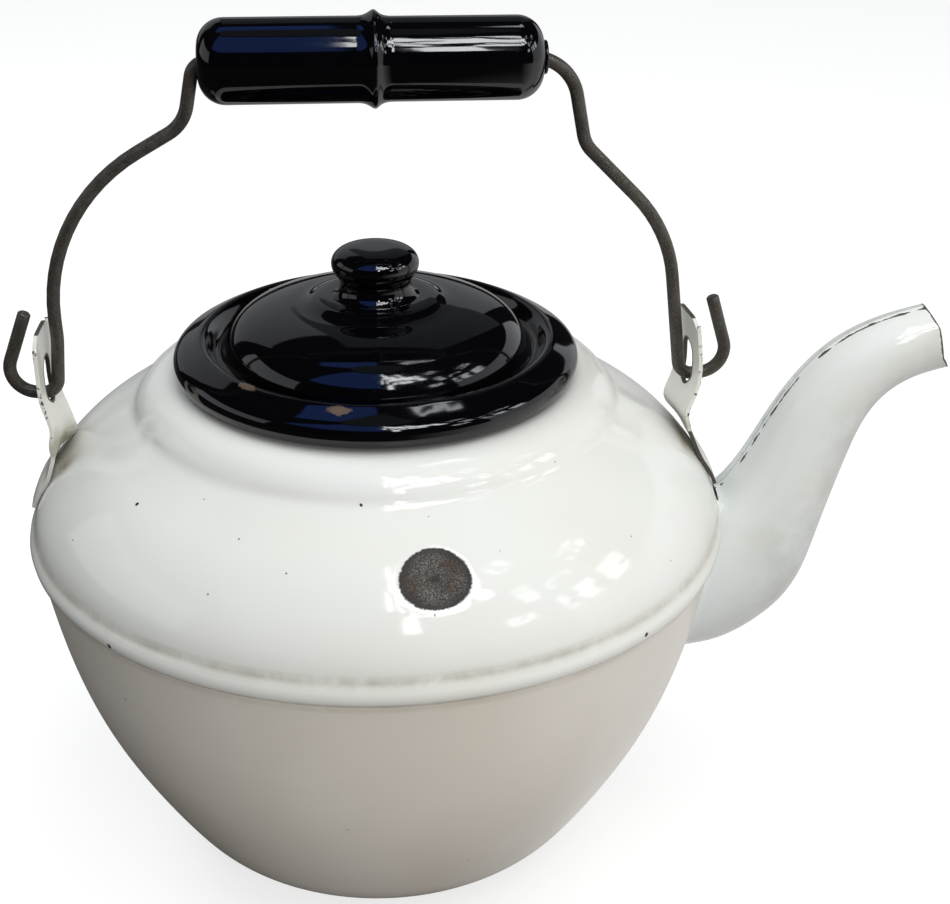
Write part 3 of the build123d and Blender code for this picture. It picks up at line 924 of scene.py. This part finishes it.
# %% Group: ripples in the glaze
ripples, ins, outs = group("glaze_ripples", {"Dip": 1.0, "Rings": 0.2}, {"Height": "Float"})
flat = add(ripples, "ShaderNodeMapping", Vector=ins["Position"], Scale=(1.0, 1.0, 7.0)).outputs[0]
broad = calc(ripples, "MULTIPLY", clouds(ripples, ins["Position"], 26.0, 1.0), ins["Dip"])
small = calc(ripples, "MULTIPLY", clouds(ripples, ins["Position"], 170.0, 1.0), 0.06)
streak = calc(ripples, "MULTIPLY", clouds(ripples, flat, 38.0), ins["Rings"])
ripples.links.new(calc(ripples, "ADD", calc(ripples, "ADD", broad, small), streak), outs["Height"])

# %% Group: pits and specks
pits, ins, outs = group("glaze_pits", {"Spacing": 80.0, "Size": 0.035}, {"Mask": "Float"})
cells = add(pits, "ShaderNodeTexVoronoi", Vector=ins["Position"], Scale=ins["Spacing"]).outputs
chance = add(pits, "ShaderNodeSeparateColor", Color=cells["Color"]).outputs[0]
reach = calc(pits, "MULTIPLY", chance, ins["Size"])
pits.links.new(calc(pits, "LESS_THAN", cells["Distance"], reach), outs["Mask"])

# %% Group: ragged edge where enamel has come off
flaked, ins, outs = group("flaked_enamel", {"Nearness": 0.0, "Edge": 0.8, "Ragged": 0.3, "Grain": 700.0},
                          {"Mask": "Float"})
bites = calc(flaked, "SUBTRACT", clouds(flaked, ins["Position"], ins["Grain"], 3.0), 0.5)
shaken = calc(flaked, "ADD", ins["Nearness"], calc(flaked, "MULTIPLY", bites, ins["Ragged"]))
level = calc(flaked, "SUBTRACT", shaken, ins["Edge"])
flaked.links.new(soft_step(flaked, level, 0.0, 0.03), outs["Mask"])

# %% Group: bare iron
iron, ins, outs = group("bare_iron", {"Rust": 0.4}, {"Color": "Color", "Roughness": "Float", "Height": "Float"})
mottle = clouds(iron, ins["Position"], 2300.0, 4.0, 0.7)
patch = clouds(iron, ins["Position"], 110.0)
grey = blend(iron, soft_step(iron, mottle, 0.42, 0.66), (0.020, 0.018, 0.016, 1), (0.20, 0.19, 0.17, 1))
brown = blend(iron, soft_step(iron, mottle, 0.4, 0.7), (0.024, 0.016, 0.012, 1), (0.10, 0.066, 0.045, 1))
rusty = calc(iron, "MULTIPLY", soft_step(iron, patch, 0.4, 0.62), ins["Rust"])
iron.links.new(blend(iron, rusty, grey, brown), outs["Color"])
iron.links.new(calc(iron, "MULTIPLY_ADD", mottle, 0.3, 0.4), outs["Roughness"])
iron.links.new(mottle, outs["Height"])

# %% Group: grime and painted shade
grime_and_shade, ins, outs = group("grime_and_shade", {"Amount": 0.0}, {"Mask": "Float"})
# A patchy mask for grime and painted shade, scaled by the amount that each point carries.
grime_and_shade_patches = soft_step(grime_and_shade, clouds(grime_and_shade, ins["Position"], 90.0, 4.0, 0.65), 0.12, 0.72)
grime_and_shade.links.new(calc(grime_and_shade, "MULTIPLY", ins["Amount"], grime_and_shade_patches), outs["Mask"])

# %% Help with materials
def new_material(name):
    """A material, its node tree, its Principled shader and the place of each point."""
    made = bpy.data.materials.new(name)
    made.use_nodes = True
    tree = made.node_tree
    return made, tree, tree.nodes["Principled BSDF"], add(tree, "ShaderNodeTexCoord").outputs["Object"]


def use(tree, shared, place, **inputs):
    """Place a shared group in a material with its own values, and give its outputs."""
    return add(tree, "ShaderNodeGroup", {"node_tree": shared}, Position=place, **inputs).outputs


def noted(tree, name, output="Fac"):
    """Read a note that the points of a piece carry."""
    return add(tree, "ShaderNodeAttribute", {"attribute_name": name}).outputs[output]


def emboss(tree, shader, height, distance, strength=1.0):
    """Let a height bend the light on the surface."""
    bump = add(tree, "ShaderNodeBump", Height=height, Strength=strength, Distance=distance)
    fill(tree, shader, Normal=bump.outputs[0])


def dress(material, *pieces):
    """Give pieces their finish."""
    for piece in pieces:
        piece.data.materials.clear()
        piece.data.materials.append(material)
    print(material.name, "on", len(pieces), "pieces")


# %% [markdown]
# ## White enamel
# The white is a little warm on the body. On the spout it is bluish, a painted cast of sky
# light; on the bowl it is darker and warmer, partly dirt and partly painted shade. The material
# reads three notes that the pieces carry: how near an edge is, how far inside a chip, how much
# grime and painted shade.

# %% White enamel material
# Olive colour for grime and for painted shade in creases and corners.
GRIME_AND_SHADE_COLOUR = (0.30, 0.27, 0.19, 1)
SPECK_COLOUR = (0.06, 0.055, 0.05, 1)
# Painted shade for the bottom of the dent in the chip.
DENT_SHADE_COLOUR = (0.022, 0.017, 0.013, 1)
WHITE_IOR = 1.52
WHITE_SHINE = 0.38


def white_enamel(name, colour, warm, dip=1.0, rings=0.2, gloss=0.08, edge=0.80, ragged=0.5,
                 rim_colour=(0.028, 0.027, 0.025, 1), spots=()):
    """White glaze over iron, with chips, edges, and grime and painted shade where the piece says so."""
    material, tree, shader, place = new_material(name)
    chip = noted(tree, "chip")

    glaze = blend(tree, soft_step(tree, clouds(tree, place, 16.0), 0.35, 0.7), colour, warm)
    # Grime and painted shade, as the pieces note them, darken the glaze.
    grime_and_shade_mask = use(tree, grime_and_shade, place, Amount=noted(tree, "grime_and_shade"))[0]
    glaze = blend(tree, grime_and_shade_mask, glaze, GRIME_AND_SHADE_COLOUR)
    glaze = blend(tree, calc(tree, "MULTIPLY", use(tree, pits, place)[0], 0.85), glaze, SPECK_COLOUR)

    edge_mask = use(tree, flaked, place, Nearness=noted(tree, "worn"), Edge=edge, Ragged=ragged)[0]
    chip_mask = use(tree, flaked, place, Nearness=chip, Edge=0.5, Ragged=0.05, Grain=1500.0)[0]
    bare = calc(tree, "MAXIMUM", edge_mask, chip_mask)
    for centre, size in spots:
        away = add(tree, "ShaderNodeVectorMath", {"operation": "DISTANCE"}, i0=place,
                   i1=[value * MM for value in centre]).outputs["Value"]
        near = calc(tree, "DIVIDE", size * MM, away)
        spot = use(tree, flaked, place, Nearness=near, Edge=1.0, Ragged=0.8, Grain=1500.0)[0]
        bare = calc(tree, "MAXIMUM", bare, spot)
    metal = use(tree, iron, place, Rust=0.85)
    metal_colour = blend(tree, soft_step(tree, chip, 0.50, 0.70), rim_colour, metal["Color"])
    # The dent in the middle of the chip is painted near black as shade.
    metal_colour = blend(tree, soft_step(tree, chip, 0.88, 1.0), metal_colour, DENT_SHADE_COLOUR)
    rough = blend_numbers(tree, bare, calc(tree, "MULTIPLY_ADD", grime_and_shade_mask, 0.3, gloss), metal["Roughness"])
    fill(tree, shader, Base_Color=blend(tree, bare, glaze, metal_colour), Roughness=rough, IOR=WHITE_IOR,
         Specular_IOR_Level=WHITE_SHINE)

    wave = calc(tree, "MULTIPLY", use(tree, ripples, place, Dip=dip, Rings=rings)[0], 0.35)
    height = calc(tree, "ADD", wave, calc(tree, "MULTIPLY", bare, -0.6))
    grain = calc(tree, "MULTIPLY", bare, calc(tree, "MULTIPLY", metal["Height"], 0.5))
    emboss(tree, shader, calc(tree, "ADD", height, grain), 0.0004)
    return material


SHOULDER_SPECKS = (((-79.4, -76.1, 110.5), 0.9), ((72.4, -82.8, 111.1), 0.8), ((-81.5, -74.0, 110.2), 0.5),
                   ((-7.7, -74.6, 151.9), 0.5), ((-70.8, -52.0, 142.7), 0.6))
dress(white_enamel("body_white_enamel", (0.785, 0.80, 0.77, 1), (0.765, 0.77, 0.725, 1), spots=SHOULDER_SPECKS),
      shoulder)
# The bowl's darker, warmer white is partly dirt and partly painted shade on walls that face down.
dress(white_enamel("bowl_white_enamel", (0.75, 0.715, 0.655, 1), (0.71, 0.67, 0.60, 1), dip=0.8, rings=0.6,
                   gloss=0.27), bowl)
# The spout's bluish white is a painted cast of blue sky light.
dress(white_enamel("spout_white_enamel", (0.73, 0.775, 0.775, 1), (0.77, 0.79, 0.76, 1), ragged=0.3,
                   rim_colour=(0.085, 0.078, 0.066, 1)), spout_near, spout_far)
dress(white_enamel("ear_white_enamel", (0.80, 0.79, 0.74, 1), (0.77, 0.76, 0.70, 1), edge=1.02, ragged=0.3,
                   rim_colour=(0.075, 0.068, 0.055, 1)), ear_front, ear_rear)

# %% [markdown]
# ## Black enamel
# The black is deep and very glossy. It shows what is around it, so its ripples matter more
# than its colour. Dust and fine pits keep it from looking like wet paint.

# %% Black enamel material
BLACK_IOR = 1.54
BLACK_ROUGHNESS = 0.035
black, tree, shader, place = new_material("black_enamel_gloss")
worn = noted(tree, "worn")
thin = use(tree, flaked, place, Nearness=worn, Edge=0.66, Ragged=0.6, Grain=420.0)[0]
thin = calc(tree, "MULTIPLY", thin, soft_step(tree, worn, 0.5, 0.8))
metal = use(tree, iron, place, Rust=0.9)
rust = blend(tree, metal["Height"], (0.012, 0.008, 0.006, 1), (0.17, 0.115, 0.075, 1))
cloud = clouds(tree, place, 40.0, 3.0)
ink = blend(tree, cloud, (0.0008, 0.0008, 0.0012, 1), (0.0018, 0.0018, 0.0026, 1))
speck = calc(tree, "MULTIPLY", use(tree, pits, place, Spacing=140.0, Size=0.05)[0], 0.4)
ink = blend(tree, speck, ink, (0.12, 0.12, 0.12, 1))
rough = blend_numbers(tree, thin, soft_step(tree, cloud, 0.2, 3.4), 0.45)
fill(tree, shader, Base_Color=blend(tree, thin, ink, rust), Roughness=calc(tree, "ADD", rough, BLACK_ROUGHNESS),
     IOR=BLACK_IOR)
wave = use(tree, ripples, place, Dip=1.7, Rings=0.05)[0]
emboss(tree, shader, calc(tree, "MULTIPLY", wave, 0.5), 0.0004)
dress(black, grip_front, grip_rear, lid, ring, knob)

# %% [markdown]
# ## Iron wire
# The wire was never enamelled. It is drawn iron that has gone grey-brown and dull, with fine
# marks along its length and specks of rust.

# %% Wire material
wire_iron, tree, shader, place = new_material("bail_iron_wire")
metal = use(tree, iron, place, Rust=0.5)
long_marks = add(tree, "ShaderNodeMapping", Vector=place, Scale=(1.0, 4.0, 0.4)).outputs[0]
drawn = clouds(tree, long_marks, 300.0, 3.0)
tone = blend(tree, soft_step(tree, drawn, 0.3, 0.7), (0.075, 0.067, 0.056, 1), (0.125, 0.112, 0.095, 1))
fill(tree, shader, Base_Color=blend(tree, 0.35, tone, metal["Color"]), Metallic=0.55,
     Roughness=calc(tree, "MULTIPLY_ADD", drawn, 0.25, 0.32))
emboss(tree, shader, calc(tree, "ADD", drawn, metal["Height"]), 0.00015, 0.6)
dress(wire_iron, bail)

# %% [markdown]
# ## Floor and backdrop
# The kettle stands on a plain pale floor that runs away to a white distance. To the eye of
# the camera and to reflections the floor is white; the light that it throws back is that of
# a darker table, so the bowl keeps its shade.

# %% Floor
FLOOR_REACH = 4.0
FLOOR_DROP = 0.0004


def seen_directly(tree):
    """1 for a ray from the camera, a reflection or clear glass; 0 for light that is passed on."""
    path = add(tree, "ShaderNodeLightPath").outputs
    seen = calc(tree, "MAXIMUM", path["Is Camera Ray"], path["Is Glossy Ray"])
    return calc(tree, "MAXIMUM", seen, path["Is Transmission Ray"])


floor_mesh = bpy.data.meshes.new("floor")
floor_mesh.from_pydata([(x * FLOOR_REACH, y * FLOOR_REACH, 0) for x, y in ((-1, -1), (1, -1), (1, 1), (-1, 1))],
                       [], [(0, 1, 2, 3)])
floor = put("floor", floor_mesh)
floor.location.z = -FLOOR_DROP
pale, tree, _, _ = new_material("pale_floor")
tree.nodes.clear()
matt = add(tree, "ShaderNodeBsdfDiffuse", Color=(0.22, 0.20, 0.185, 1))
shown = add(tree, "ShaderNodeBsdfDiffuse", Color=(0.42, 0.42, 0.42, 1))
glow = add(tree, "ShaderNodeEmission", Color=(1, 1, 1, 1), Strength=0.70)
white_floor = add(tree, "ShaderNodeAddShader", i0=shown.outputs[0], i1=glow.outputs[0])
mixed = add(tree, "ShaderNodeMixShader", i0=seen_directly(tree), i1=matt.outputs[0], i2=white_floor.outputs[0])
add(tree, "ShaderNodeOutputMaterial", i0=mixed.outputs[0])
floor_mesh.materials.append(pale)
print("floor", 2 * FLOOR_REACH, "m wide")

# %% [markdown]
# ## Light
# A broad soft panel hangs above and to the right, a second one stands low at the front right,
# and a small cool one is behind on the left. A black enamelled lid also needs something dark
# to reflect, with a bright window in it. A photographer would put up black cloth. Here a dome
# of small panes and a table top are seen by reflections only: most panes are dark, and some
# are a window, a piece of sky or a pale wall.

# %% World
world = bpy.data.worlds.new("studio")
bpy.context.scene.world = world
world.use_nodes = True
tree = world.node_tree
tree.nodes.clear()
soft = add(tree, "ShaderNodeBackground", Color=(0.93, 0.96, 1.0, 1), Strength=0.41)
white = add(tree, "ShaderNodeBackground", Color=(1, 1, 1, 1), Strength=1.0)
mixed = add(tree, "ShaderNodeMixShader", i0=seen_directly(tree), i1=soft.outputs[0], i2=white.outputs[0])
add(tree, "ShaderNodeOutputWorld", i0=mixed.outputs[0])
print("world set")

# %% Lamps
def panel(name, place, target, wide, tall, power, colour):
    """A rectangular soft light that faces a target and shows in no reflection."""
    light = bpy.data.lights.new(name, "AREA")
    light.shape = "RECTANGLE"
    light.size = wide
    light.size_y = tall
    light.energy = power
    light.color = colour
    lamp = put(name, light)
    lamp.location = place
    lamp.rotation_euler = (Vector(target) - Vector(place)).to_track_quat("-Z", "Y").to_euler()
    lamp.visible_glossy = False
    print("lamp", name, power, "W")


panel("overhead", (0.35, -0.2, 1.3), (0, 0, 0.1), 1.3, 1.1, 9.6, (1.0, 0.99, 0.97))
panel("low_right", (0.64, -1.2, 0.40), (0, 0, 0.08), 0.6, 0.5, 7.8, (1.0, 0.98, 0.95))
panel("sky_behind", (-0.7, 0.5, 1.0), (-0.05, 0, 0.14), 0.6, 0.6, 4.4, (0.94, 0.97, 1.0))

# %% What the glaze reflects
PANE = 1
DOME_REACH = 3.0
TABLE_HOLE = 0.06
PANE_COLOURS = {"dark": (0.010, 0.010, 0.012), "dim": (0.10, 0.11, 0.115), "grey": (0.34, 0.35, 0.36),
                "navy": (0.10, 0.22, 0.80), "haze": (5.0, 5.2, 5.4), "window": (13.0, 13.4, 13.8),
                "pale": (0.72, 0.74, 0.76)}
# What stands in a direction: least and greatest azimuth from the front to the right, then elevation
PANE_PLACES = [("haze", 55, 67, 57, 63), ("haze", 80, 93, 44, 50), ("haze", 50, 57, 38, 47),
               ("haze", 62, 74, 39, 43), ("haze", 40, 50, 27, 33), ("haze", 60, 90, 24, 34),
               ("window", 1, 3.4, 50, 62), ("window", 3.4, 6, 60, 76), ("window", 6, 11, 36, 72),
               ("window", 11, 30, 47, 72), ("window", 30, 44, 48, 62), ("navy", -60, 1, 40, 78),
               ("haze", 126, 150, 66, 76), ("navy", -180, -110, 68, 80), ("dim", -180, 180, 80, 90),
               ("dim", 150, 180, 26, 56), ("dim", -180, -172, 26, 56), ("grey", 160, 180, 6, 26),
               ("grey", -180, -138, 6, 44), ("pale", 60, 150, 0, 24), ("pale", -120, -64, 8, 30)]
TABLE_TONES = ((-180, 0.45), (-165, 0.30), (-148, 0.08), (-140, 0.03), (12, 0.02), (65, 0.92), (105, 0.85),
               (150, 0.45), (180, 0.45))


def pane_tone(azimuth, elevation):
    """The first place that holds the direction, else dark cloth; windows are broken by leaves."""
    leaves = noise.noise(Vector((azimuth * 0.16, elevation * 0.16, 2.0))) + 0.5 * noise.noise(
        Vector((azimuth * 0.45, elevation * 0.45, 7.0)))
    for tone, left, right, low, high in PANE_PLACES:
        if left < azimuth < right and low < elevation < high:
            return "dark" if leaves > 0.10 and tone in ("window", "haze") else tone
    return "dark"


def table_tone(azimuth):
    """The table top is dark at the left and in front, pale at the right and grey behind."""
    return [float(np.interp(azimuth, *zip(*TABLE_TONES)))] * 3


def dome_point(azimuth, elevation, reach=DOME_REACH):
    """A point on the dome, or on the table top at a shorter reach."""
    turn, rise = math.radians(azimuth), math.radians(elevation)
    return (reach * math.sin(turn) * math.cos(rise), -reach * math.cos(turn) * math.cos(rise),
            reach * math.sin(rise) + MM)


corners, panes, colours = [], [], []


def hang_pane(places, tones):
    """Add one pane with its four corners and their colours."""
    panes.append(tuple(len(corners) + k for k in range(4)))
    corners.extend(places)
    colours.extend(value for tone in tones for value in (*tone, 1.0))


for left in range(-180, 180, PANE):
    right = left + PANE
    hang_pane([dome_point(left, 0, TABLE_HOLE), dome_point(right, 0, TABLE_HOLE),
               dome_point(right, 0), dome_point(left, 0)],
              [table_tone(azimuth) for azimuth in (left, right, right, left)])
    for low in range(0, 90, PANE):
        high = low + PANE
        tone = pane_tone(left + PANE / 2, low + PANE / 2)
        hang_pane([dome_point(left, low), dome_point(right, low),
                   dome_point(right, high), dome_point(left, high)], [PANE_COLOURS[tone]] * 4)
print("panes", len(panes))

# %% Put up the dome
dome_mesh = bpy.data.meshes.new("dark_room")
dome_mesh.from_pydata(corners, [], panes)
dome_mesh.attributes.new("tone", "FLOAT_COLOR", "POINT").data.foreach_set("color", colours)
room, tree, _, _ = new_material("room_tones")
tree.nodes.clear()
glow = add(tree, "ShaderNodeEmission", Color=noted(tree, "tone", "Color"), Strength=1.0)
add(tree, "ShaderNodeOutputMaterial", i0=glow.outputs[0])
room.cycles.emission_sampling = "NONE"
dome_mesh.materials.append(room)
dark_room = put("dark_room", dome_mesh)
dark_room.visible_camera = False
dark_room.visible_diffuse = False
dark_room.visible_shadow = False
print("dome reaches", DOME_REACH, "m")

# %% [markdown]
# ## Finish
# The picture is shown plainly, without a film look.

# %% Finish
bpy.context.scene.view_settings.view_transform = "Standard"
